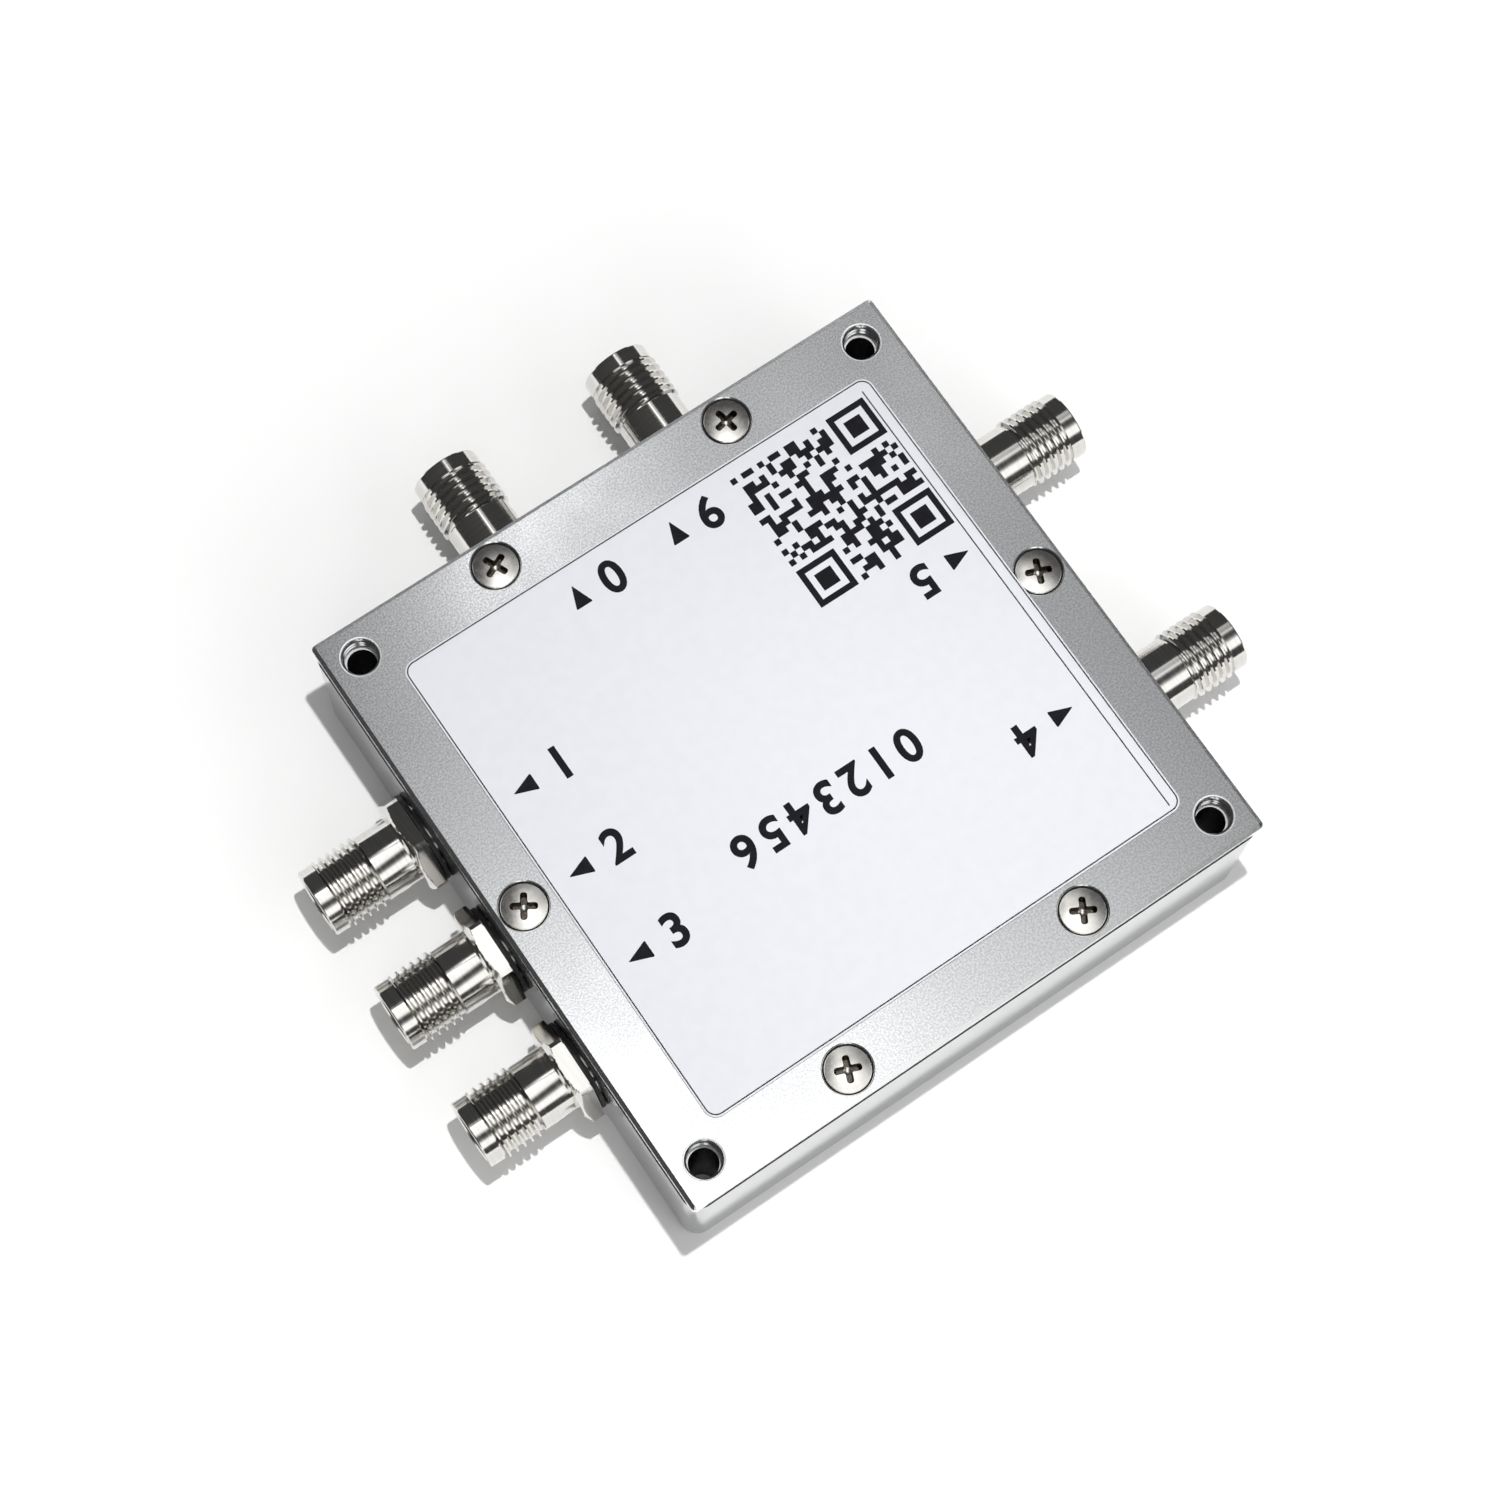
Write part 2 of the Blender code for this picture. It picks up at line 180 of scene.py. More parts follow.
def join(material, source, output, target, entry):
    material.node_tree.links.new(source.outputs[output], target.inputs[entry])


def objectPattern(material, stretch=(1, 1, 1)):
    place = addNode(material, "ShaderNodeTexCoord")
    mapping = addNode(material, "ShaderNodeMapping")
    mapping.inputs["Scale"].default_value = stretch
    join(material, place, "Object", mapping, "Vector")
    return mapping


def addNoise(material, mapping, scale, detail=2.0, roughness=0.5):
    noise = addNode(material, "ShaderNodeTexNoise", Scale=scale, Detail=detail, Roughness=roughness)
    join(material, mapping, "Vector", noise, "Vector")
    return noise


def addRange(material, source, output, low, high, toLow, toHigh):
    span = addNode(material, "ShaderNodeMapRange", From_Min=low, From_Max=high, To_Min=toLow,
                   To_Max=toHigh)
    join(material, source, output, span, "Value")
    return span


def rampNode(tree, source, stops):
    ramp = tree.nodes.new("ShaderNodeValToRGB")
    elements = ramp.color_ramp.elements
    while len(elements) < len(stops):
        elements.new(0.5)
    for element, (place, color) in zip(elements, stops):
        element.position = place
        element.color = (*color, 1.0)
    tree.links.new(source, ramp.inputs[0])
    return ramp


def addRamp(material, source, output, stops):
    return rampNode(material.node_tree, source.outputs[output], stops)


def addBump(material, source, output, strength, distance):
    bump = addNode(material, "ShaderNodeBump", Strength=strength, Distance=distance)
    join(material, source, output, bump, "Height")
    return bump


def shaderOf(material):
    return material.node_tree.nodes["Principled BSDF"]


def mathNode(tree, operation, first, second=None, clamp=False):
    node = tree.nodes.new("ShaderNodeMath")
    node.operation = operation
    node.use_clamp = clamp
    for slotNumber, value in enumerate((first, second)):
        if value is None:
            continue
        if isinstance(value, (int, float)):
            node.inputs[slotNumber].default_value = value
        else:
            tree.links.new(value, node.inputs[slotNumber])
    return node.outputs[0]


def spanNode(tree, source, low, high, toLow, toHigh, smooth=False):
    node = tree.nodes.new("ShaderNodeMapRange")
    if smooth:
        node.interpolation_type = "SMOOTHSTEP"
    for entry, value in zip(("From Min", "From Max", "To Min", "To Max"), (low, high, toLow, toHigh)):
        node.inputs[entry].default_value = value
    tree.links.new(source, node.inputs["Value"])
    return node.outputs[0]


def vectorNode(tree, operation, first, second=None):
    node = tree.nodes.new("ShaderNodeVectorMath")
    node.operation = operation
    tree.links.new(first, node.inputs[0])
    if isinstance(second, Vector):
        node.inputs[1].default_value = second
    elif second:
        tree.links.new(second, node.inputs[1])
    return node


def mixNode(tree, factor, first, second):
    node = tree.nodes.new("ShaderNodeMix")
    node.data_type = "RGBA"
    tree.links.new(factor, node.inputs[0])
    entries = [entry for entry in node.inputs if entry.type == "RGBA"]
    for entry, value in zip(entries, (first, second)):
        if isinstance(value, tuple):
            entry.default_value = (*value, 1.0)
        else:
            tree.links.new(value, entry)
    return [entry for entry in node.outputs if entry.type == "RGBA"][0]


# Finishes

def makeBlastedAluminium(name, values):
    material = newMaterial(name, values["color"], 1.0, values["roughness"])
    shader = shaderOf(material)
    mapping = objectPattern(material)
    grain = addNoise(material, mapping, values["grainScale"], 2.0, 0.6)
    cloud = addNoise(material, mapping, values["cloudScale"], 3.0, 0.5)
    dark = [c * values["darkest"] for c in values["color"]]
    light = [min(1.0, c * values["lightest"]) for c in values["color"]]
    tone = addRamp(material, grain, "Fac", [(0.40, dark), (0.5, values["color"]), (0.60, light)])
    join(material, tone, "Color", shader, "Base Color")
    rough = addRange(material, cloud, "Fac", 0.3, 0.7, values["roughness"] - 0.03,
                     values["roughness"] + 0.03)
    join(material, rough, "Result", shader, "Roughness")
    bump = addBump(material, grain, "Fac", values["bump"], values["bumpDepth"])
    join(material, bump, "Normal", shader, "Normal")
    return material


def makeTurnedMetal(name, values, axis):
    material = newMaterial(name, values["color"], 1.0, values["roughness"])
    shader = shaderOf(material)
    stretch = [values["across"]] * 3
    stretch["XYZ".index(axis)] = values["along"]
    rings = addNoise(material, objectPattern(material, stretch), 1.0, 3.0, 0.55)
    rough = addRange(material, rings, "Fac", 0.3, 0.7, values["roughness"] * 0.7,
                     values["roughness"] * 1.4)
    join(material, rough, "Result", shader, "Roughness")
    dark = [c * values["darkest"] for c in values["color"]]
    tone = addRamp(material, rings, "Fac", [(0.3, dark), (0.7, values["color"])])
    join(material, tone, "Color", shader, "Base Color")
    bump = addBump(material, rings, "Fac", values["bump"], values["bumpDepth"])
    join(material, bump, "Normal", shader, "Normal")
    return material


def makeGrained(name, color, metallic, roughness, scale, spread, bump, depth):
    material = newMaterial(name, color, metallic, roughness)
    shader = shaderOf(material)
    grain = addNoise(material, objectPattern(material), scale, 3.0, 0.5)
    dark = [c * (1 - spread) for c in color]
    light = [min(1.0, c * (1 + spread)) for c in color]
    tone = addRamp(material, grain, "Fac", [(0.35, dark), (0.65, light)])
    join(material, tone, "Color", shader, "Base Color")
    rough = addRange(material, grain, "Fac", 0.3, 0.7, roughness * 0.9, roughness * 1.1)
    join(material, rough, "Result", shader, "Roughness")
    ripple = addBump(material, grain, "Fac", bump, depth)
    join(material, ripple, "Normal", shader, "Normal")
    return material


blasted = {
    "color": (0.51, 0.52, 0.53), "roughness": 0.14, "grainScale": 6000, "cloudScale": 90,
    "darkest": 0.86, "lightest": 1.15, "bump": 0.16, "bumpDepth": 0.000010,
}
turned = {
    "color": (0.78, 0.765, 0.735), "roughness": 0.11, "along": 9000, "across": 260,
    "darkest": 0.86, "bump": 0.06, "bumpDepth": 0.000004,
}
shadedBoxBlasted = dict(blasted, color=(0.44, 0.45, 0.46))  # the box is a little darker than its lid: a copy of the lid finish, darkened as painted shade on the box walls
aluminium = makeBlastedAluminium("blasted_aluminium", blasted)
shadedBoxAluminium = makeBlastedAluminium("box_aluminium_painted_shade", shadedBoxBlasted)
nickelX = makeTurnedMetal("bright_nickel_x", turned, "X")
nickelY = makeTurnedMetal("bright_nickel_y", turned, "Y")
screwSteel = makeGrained("screw_steel", (0.78, 0.76, 0.72), 1.0, 0.20, 2600, 0.06, 0.12, 0.00001)
cutAluminium = makeGrained("cut_aluminium", (0.93, 0.935, 0.94), 1.0, 0.20, 3000, 0.04, 0.1, 0.00001)
tapMetal = makeGrained("tap_metal", (0.62, 0.625, 0.63), 1.0, 0.16, 3000, 0.1, 0.1, 0.00001)
# near-white, half-metal finish: painted highlight on the fixing-hole rims and on the ledge inside each
# fixing hole
highlightRim = makeGrained("painted_highlight_rim", (0.90, 0.905, 0.91), 0.25, 0.40, 5000, 0.08, 0.3, 0.00002)
seamShade = makeGrained("seam_shade", (0.025, 0.025, 0.027), 0.0, 0.60, 3000, 0.3, 0.1, 0.00001)
boreShade = makeGrained("bore_shade", (0.012, 0.012, 0.013), 0.0, 0.60, 3000, 0.3, 0.1, 0.00001)
recessShade = makeGrained("recess_shade", (0.14, 0.12, 0.10), 1.0, 0.30, 5200, 0.5, 0.4, 0.00002)
# near-black washer finish: painted shade for the dark band between each hexagon and the box wall
washerShade = makeGrained("washer_painted_shade", (0.035, 0.034, 0.033), 0.0, 0.55, 4000, 0.3, 0.2, 0.00001)
labelFilm = makeGrained("label_film", (0.752, 0.76, 0.797), 0.0, 0.36, 900, 0.012, 0.05, 0.00001)
printInk = makeGrained("print_ink", (0.010, 0.010, 0.013), 0.0, 0.60, 1800, 0.25, 0.08, 0.00001)
shaderOf(printInk).inputs["Specular IOR Level"].default_value = 0.25
lineInk = makeGrained("line_ink", (0.03, 0.03, 0.034), 0.0, 0.50, 1800, 0.2, 0.05, 0.00001)
goldPlate = makeGrained("gold_plate", (0.86, 0.62, 0.26), 1.0, 0.20, 3200, 0.06, 0.1, 0.000005)
whitePtfe = makeGrained("white_ptfe", (0.80, 0.80, 0.78), 0.0, 0.48, 1500, 0.03, 0.08, 0.00001)
boardGreen = makeGrained("board_laminate", (0.035, 0.16, 0.07), 0.0, 0.38, 1400, 0.18, 0.1, 0.00002)
ferriteGrey = makeGrained("ferrite", (0.05, 0.05, 0.055), 0.0, 0.6, 3500, 0.25, 0.3, 0.00002)
chipBlack = makeGrained("chip_ceramic", (0.04, 0.04, 0.045), 0.0, 0.45, 3000, 0.2, 0.1, 0.00001)
print("finishes made")


# Housing base

baseLow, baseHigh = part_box("housing_base")
lidLow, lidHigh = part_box("lid")
labelLow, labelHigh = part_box("label")
screwNodes = [f"lid_screw_{number}" for number in range(1, 7)]
screwBoxes = [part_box(name) for name in screwNodes]
screwPlaces = [((low.x + high.x) / 2, (low.y + high.y) / 2) for low, high in screwBoxes]

base = {
    "cornerRadius": 1.5 * mm, "cornerSegments": 14, "rimTop": 0.14 * mm, "rimBottom": 0.16 * mm,
    "wall": 4.6 * mm, "floor": 2.0 * mm, "pocketRadius": 3.0 * mm,
    "holeInset": 3.0 * mm, "drillRadius": 1.24 * mm, "tapRadius": 1.60 * mm, "tapDepth": 0.60 * mm,
    "pilotRadius": 1.1 * mm, "pilotBottom": 9.8 * mm,
    "postRadius": 2.2 * mm, "postInset": 4.0 * mm, "postTop": 4.65 * mm,
    "postPilotRadius": 0.95 * mm, "postPilotBottom": 2.45 * mm,
    "boreRadius": 3.1 * mm, "axisHeight": 6.1 * mm,
    "over": 1.0 * mm, "postSunk": 0.5 * mm, "drillOverlap": 0.2 * mm, "paintRoom": 0.01 * mm,
}


def distanceTo(spot, places):
    return min(math.hypot(spot.x - x, spot.y - y) for x, y in places)


def cornerPlaces(inset):
    x = baseHigh.x - inset
    y = baseHigh.y - inset
    return [(x, y), (-x, y), (-x, -y), (x, -y)]


jacks = [
    # name, side, place along the side, reach, hexagon turn in degrees
    ("jack_0", "back", -9.0 * mm, 9.6 * mm, None),
    ("jack_1", "left", 11.4 * mm, 10.4 * mm, 9),
    ("jack_2", "left", 0.0, 10.4 * mm, -6),
    ("jack_3", "left", -11.4 * mm, 10.4 * mm, -8),
    ("jack_4", "right", -11.4 * mm, 9.6 * mm, None),
    ("jack_5", "right", 11.4 * mm, 9.6 * mm, None),
    ("jack_6", "back", 8.2 * mm, 9.6 * mm, None),
]


def jackMatrix(side, along):
    height = base["axisHeight"]
    if side == "left":
        return Matrix.Translation((baseLow.x, along, height)) @ Matrix.Rotation(-math.pi / 2, 4, "Y")
    if side == "right":
        return Matrix.Translation((baseHigh.x, along, height)) @ Matrix.Rotation(math.pi / 2, 4, "Y")
    return Matrix.Translation((along, baseHigh.y, height)) @ Matrix.Rotation(-math.pi / 2, 4, "X")


def makeBase():
    bm = slab(baseLow, baseHigh, base["cornerRadius"], base["cornerSegments"], base["rimTop"],
              base["rimBottom"], 1)
    wall = base["wall"]
    over = base["over"]
    pocket = slab((baseLow.x + wall, baseLow.y + wall, base["floor"]),
                  (baseHigh.x - wall, baseHigh.y - wall, baseHigh.z + over), base["pocketRadius"], 8)
    posts = bmesh.new()
    for x, y in cornerPlaces(wall + base["postInset"]):
        drill(posts, x, y, base["floor"] - base["postSunk"], base["postTop"], base["postRadius"], 32)
    holes = bmesh.new()
    for x, y in cornerPlaces(wall + base["postInset"]):
        drill(holes, x, y, base["postPilotBottom"], base["postTop"] + over, base["postPilotRadius"], 24)
    for x, y in screwPlaces:
        drill(holes, x, y, base["pilotBottom"], baseHigh.z + over, base["pilotRadius"], 24)
    for x, y in cornerPlaces(base["holeInset"]):
        drill(holes, x, y, baseHigh.z - base["tapDepth"], baseHigh.z + over, base["tapRadius"], 64)
    drills = bmesh.new()
    for x, y in cornerPlaces(base["holeInset"]):
        drill(drills, x, y, -over, baseHigh.z - base["tapDepth"] + base["drillOverlap"],
              base["drillRadius"], 64)
    bores = bmesh.new()
    for _name, side, along, _reach, _turn in jacks:
        bore = bmesh.ops.create_cone(bores, cap_ends=True, segments=48, radius1=base["boreRadius"],
                                     radius2=base["boreRadius"], depth=wall + 2 * over)
        place = jackMatrix(side, along) @ Matrix.Translation((0, 0, -wall / 2))
        bmesh.ops.transform(bores, matrix=place, verts=bore["verts"])
    mesh = carve(bm, [("DIFFERENCE", pocket), ("UNION", posts), ("DIFFERENCE", holes),
                      ("DIFFERENCE", drills), ("DIFFERENCE", bores)])
    # the box walls carry the darkened copy of the finish, painted shade
    piece = finishPiece("box_body", mesh, shadedBoxAluminium, 30)
    seamBottom = baseHigh.z - base["rimTop"]
    paintFaces(piece, seamShade, lambda spot, normal: spot.z > seamBottom and 0.3 < normal.z < 0.95)
    holePlaces = cornerPlaces(base["holeInset"])
    tapRadius = base["tapRadius"]
    paintFaces(piece, boreShade, lambda spot, normal: abs(normal.z) < 0.3
               and distanceTo(spot, holePlaces) < tapRadius + base["paintRoom"])
    # painted highlight on the ledge at the foot of each tapped hole
    paintFaces(piece, highlightRim, lambda spot, normal: normal.z > 0.9
               and distanceTo(spot, holePlaces) < tapRadius)
    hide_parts("housing_base")


makeBase()


# Threads are one pitch of profile spun along a helix, then cut square at both ends

threadRun = 1.2  # turns spun past each end, which the square cuts take off
threadShape = [(0.00, 0.0), (0.13, 0.0), (0.39, 1.0), (0.61, 1.0), (0.87, 0.0), (1.00, 0.0)]


def helix(rootRadius, crestRadius, pitch, low, high, steps):
    bm = bmesh.new()
    start = low - threadRun * pitch
    turns = math.ceil((high - start) / pitch + threadRun)
    verts = [bm.verts.new((rootRadius + (crestRadius - rootRadius) * lift, 0.0, start + pitch * along))
             for along, lift in threadShape]
    edges = [bm.edges.new(pair) for pair in zip(verts, verts[1:])]
    bmesh.ops.spin(bm, geom=verts + edges, cent=(0, 0, 0), axis=(0, 0, 1),
                   dvec=(0, 0, pitch / steps), angle=math.tau * turns, steps=steps * turns,
                   use_merge=False, use_normal_flip=False, use_duplicate=False)
    bmesh.ops.remove_doubles(bm, verts=bm.verts, dist=tiny)
    return bm


def cutSquare(bm, low, high):
    for height, side in ((low, -1), (high, 1)):
        bmesh.ops.bisect_plane(bm, geom=bm.verts[:] + bm.edges[:] + bm.faces[:], dist=tiny,
                               plane_co=(0, 0, height), plane_no=(0, 0, side), clear_outer=True)
    loops = []
    for height in (low, high):
        loops.append([e for e in bm.edges if e.is_boundary
                      and all(abs(v.co.z - height) < 1e-6 for v in e.verts)])
    return loops


def growLoop(bm, edges, radius, height):
    made = bmesh.ops.extrude_edge_only(bm, edges=edges)["geom"]
    fresh = {item for item in made if isinstance(item, bmesh.types.BMVert)}
    for vert in fresh:
        reach = math.hypot(vert.co.x, vert.co.y)
        vert.co = (vert.co.x * radius / reach, vert.co.y * radius / reach, height)
    return [item for item in made if isinstance(item, bmesh.types.BMEdge)
            and item.is_boundary and all(v in fresh for v in item.verts)]


def capRadius(bm, limit):
    for vert in bm.verts:
        reach = math.hypot(vert.co.x, vert.co.y)
        most = limit(vert.co.z)
        if reach > most:
            vert.co.x *= most / reach
            vert.co.y *= most / reach


# Coaxial jacks

jack = {
    "pitch": 0.7056 * mm, "crest": 3.135 * mm, "root": 2.765 * mm, "steps": 72,
    "ringRadius": 3.0 * mm, "ringLength": 1.32 * mm, "threadLength": 4.0 * mm,
    "neckRadius": 2.92 * mm, "mouthRadius": 2.30 * mm, "mouthDepth": 1.95 * mm,
    "shellBore": 2.09 * mm, "chamfer": 0.12 * mm, "stubRadius": 2.9 * mm, "stubRear": -4.3 * mm,
    "collarRadius": 3.35 * mm, "collarLow": 0.1 * mm, "collarHigh": 0.45 * mm,
    "hexFlat": 4.0 * mm, "hexCorner": 4.51 * mm, "hexLow": 0.55 * mm, "hexHigh": 2.05 * mm,
    "hexChamfer": 0.22 * mm, "hexSteps": 144, "hexRows": 8, "hexBreak": 0.05 * mm,
    "neckLow": 0.1 * mm, "collarEdge": 0.06 * mm, "smoothBelow": 18,
}


def makeShell(name, side, along, reach, turn):
    front = reach - jack["ringLength"]
    back = front - jack["threadLength"]
    chamfer = jack["chamfer"]
    bm = helix(jack["root"], jack["crest"], jack["pitch"], back, front, jack["steps"])
    capRadius(bm, lambda z: min(jack["ringRadius"] + max(0.0, front - z),
                                jack["neckRadius"] + max(0.0, z - back)))
    lowLoop, highLoop = cutSquare(bm, back, front)
    ahead = [
        (jack["ringRadius"], front), (jack["ringRadius"], reach - chamfer),
        (jack["ringRadius"] - chamfer * 0.3, reach - chamfer * 0.3),
        (jack["ringRadius"] - chamfer, reach), (jack["mouthRadius"] + chamfer, reach),
        (jack["mouthRadius"], reach - chamfer), (jack["mouthRadius"], reach - jack["mouthDepth"]),
        (jack["shellBore"], reach - jack["mouthDepth"]),
    ]
    behind = [(jack["neckRadius"], back)]
    if turn is None:
        edge = jack["collarEdge"]
        behind += [(jack["neckRadius"], jack["collarHigh"]),
                   (jack["collarRadius"] - edge, jack["collarHigh"]),
                   (jack["collarRadius"], jack["collarHigh"] - edge),
                   (jack["collarRadius"], jack["collarLow"]), (jack["stubRadius"], jack["collarLow"])]
    else:
        behind += [(jack["neckRadius"], jack["neckLow"])]
    behind += [(jack["stubRadius"], 0.0), (jack["stubRadius"], jack["stubRear"]),
               (jack["shellBore"], jack["stubRear"])]
    for radius, height in ahead:
        highLoop = growLoop(bm, highLoop, radius, height)
    for radius, height in behind:
        lowLoop = growLoop(bm, lowLoop, radius, height)
    bmesh.ops.bridge_loops(bm, edges=lowLoop + highLoop)
    bmesh.ops.remove_doubles(bm, verts=bm.verts, dist=tiny)
    if turn is not None:
        addHexagon(bm, math.radians(turn))
    bmesh.ops.recalc_face_normals(bm, faces=bm.faces)
    for edge in bm.edges:
        # every turned edge stays crisp
        edge.smooth = edge.calc_face_angle(0.0) < math.radians(jack["smoothBelow"])
    for face in bm.faces:
        face.smooth = True
    bmesh.ops.transform(bm, matrix=jackMatrix(side, along), verts=bm.verts)
    metal = nickelY if side == "back" else nickelX
    shell = finishPiece(f"{name}_shell", toMesh(bm), metal, 0)
    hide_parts(f"{name}_body")


def addHexagon(bm, turn):
    low, high = jack["hexLow"], jack["hexHigh"]
    flat = jack["hexFlat"]
    corner = jack["hexCorner"]
    edge = jack["hexBreak"]
    inner = jack["neckRadius"] - edge
    slope = math.tan(math.radians(30))
    faceRadius = flat - jack["hexChamfer"]
    drop = (corner - faceRadius) * slope
    rows = jack["hexRows"]
    points = [(inner, high), (faceRadius, high)]
    points += [(faceRadius + (corner - faceRadius) * k / rows, high - drop * k / rows)
               for k in range(1, rows + 1)]
    points += [(corner, low + edge), (corner - edge, low), (inner, low)]
    disc = lathe(points, jack["hexSteps"], closed=True)
    for vert in disc.verts:
        angle = math.atan2(vert.co.y, vert.co.x)
        fromFlat = (angle + math.pi / 6) % (math.pi / 3) - math.pi / 6
        most = flat / math.cos(fromFlat)
        reach = math.hypot(vert.co.x, vert.co.y)
        if reach > most:
            vert.co.x *= most / reach
            vert.co.y *= most / reach
    bmesh.ops.rotate(disc, cent=(0, 0, 0), matrix=Matrix.Rotation(turn, 3, "Z"), verts=disc.verts)
    bmesh.ops.remove_doubles(disc, verts=disc.verts, dist=tiny)
    addTo(bm, disc)


# Insulator and centre contact of a jack

core = {
    "insulatorRadius": 2.06 * mm, "contactRadius": 0.635 * mm, "clearance": 0.03 * mm,
    "socketRadius": 0.46 * mm, "socketDepth": 2.0 * mm, "slotWidth": 0.14 * mm,
    "slotDepth": 1.5 * mm, "slotSpan": 2.0 * mm, "slotOver": 0.5 * mm, "tailRadius": 0.45 * mm,
    "tailReach": 2.3 * mm, "tailStep": 0.1 * mm, "drillPoint": 0.2 * mm, "edge": 0.08 * mm,
    "lip": 0.07 * mm,
}


def makeCore(name, side, along, reach):
    place = jackMatrix(side, along)
    socket, outside = core["socketRadius"], core["contactRadius"]
    front = reach - jack["mouthDepth"]
    rear = -base["wall"]
    hole = outside + core["clearance"]
    edge = core["edge"]
    bm = lathe([(hole, front), (core["insulatorRadius"] - edge, front),
                (core["insulatorRadius"], front - edge), (core["insulatorRadius"], rear),
                (hole, rear)], 64, closed=True)
    bmesh.ops.transform(bm, matrix=place, verts=bm.verts)
    plug = finishPiece(f"{name}_dielectric", toMesh(bm), whitePtfe)
    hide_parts(f"{name}_insulator")

    tip = front
    floor = tip - core["socketDepth"]
    lip = core["lip"]
    tail = core["tailRadius"]
    end = rear - core["tailReach"]
    points = [
        (0.0, floor - core["drillPoint"]), (socket, floor), (socket, tip - lip), (socket + lip, tip),
        (outside - lip, tip), (outside, tip - lip), (outside, rear), (tail, rear - core["tailStep"]),
        (tail, end + lip), (tail - lip, end), (0.0, end),
    ]
    pin = lathe(points, 40)
    cutters = []
    over = core["slotOver"]
    high = core["slotDepth"] + over
    for wide, deep in ((core["slotSpan"], core["slotWidth"]), (core["slotWidth"], core["slotSpan"])):
        slot = bmesh.new()
        bmesh.ops.create_cube(slot, size=1.0)
        bmesh.ops.scale(slot, vec=(wide, deep, high), verts=slot.verts)
        bmesh.ops.translate(slot, vec=(0, 0, tip + over - high / 2), verts=slot.verts)
        cutters.append(("DIFFERENCE", slot))
    mesh = carve(pin, cutters)
    mesh.transform(place)
    contact = finishPiece(f"{name}_pin", mesh, goldPlate)
    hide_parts(f"{name}_contact")


for jackName, jackSide, jackAlong, jackReach, jackTurn in jacks:
    makeShell(jackName, jackSide, jackAlong, jackReach, jackTurn)
    makeCore(jackName, jackSide, jackAlong, jackReach)
print("jacks made")


# Tapped threads in the fixing holes

tap = {"pitch": 0.5 * mm, "minor": 1.37 * mm, "major": 1.57 * mm, "sleeve": 1.59 * mm, "steps": 48,
       "below": 0.12 * mm, "above": 0.35 * mm}


def makeTappedThreads():
    high = lidHigh.z - tap["below"]
    low = baseHigh.z - base["tapDepth"] + tap["above"]
    for number, (x, y) in enumerate(cornerPlaces(base["holeInset"]), 1):
        bm = helix(tap["major"], tap["minor"], tap["pitch"], low, high, tap["steps"])
        for vert in bm.verts:
            reach = math.hypot(vert.co.x, vert.co.y)
            least = tap["major"] - max(0.0, high - vert.co.z)
            if reach < least:
                vert.co.x *= least / reach
                vert.co.y *= least / reach
        lowLoop, highLoop = cutSquare(bm, low, high)
        lowLoop = growLoop(bm, lowLoop, tap["sleeve"], low)
        highLoop = growLoop(bm, highLoop, tap["sleeve"], high)
        bmesh.ops.bridge_loops(bm, edges=lowLoop + highLoop)
        bmesh.ops.recalc_face_normals(bm, faces=bm.faces)
        bmesh.ops.translate(bm, vec=(x, y, 0), verts=bm.verts)
        finishPiece(f"tapped_thread_{number}", toMesh(bm), tapMetal, 34)


makeTappedThreads()


# Lid with its fixing holes and countersinks

lid = {
    "cornerRadius": 0.40 * mm, "chamfer": 0.33 * mm, "chamferDrop": 0.23 * mm, "underBreak": 0.06 * mm,
    "inset": 0.08 * mm, "holeRadius": 1.60 * mm, "rimRadius": 1.70 * mm, "rimDrop": 0.06 * mm,
    "sinkRadius": 2.03 * mm, "sinkEdge": 0.09 * mm, "sinkNeck": 1.10 * mm, "sinkDepth": 1.10 * mm,
    "over": 0.5 * mm, "paintRoom": 0.01 * mm,
}


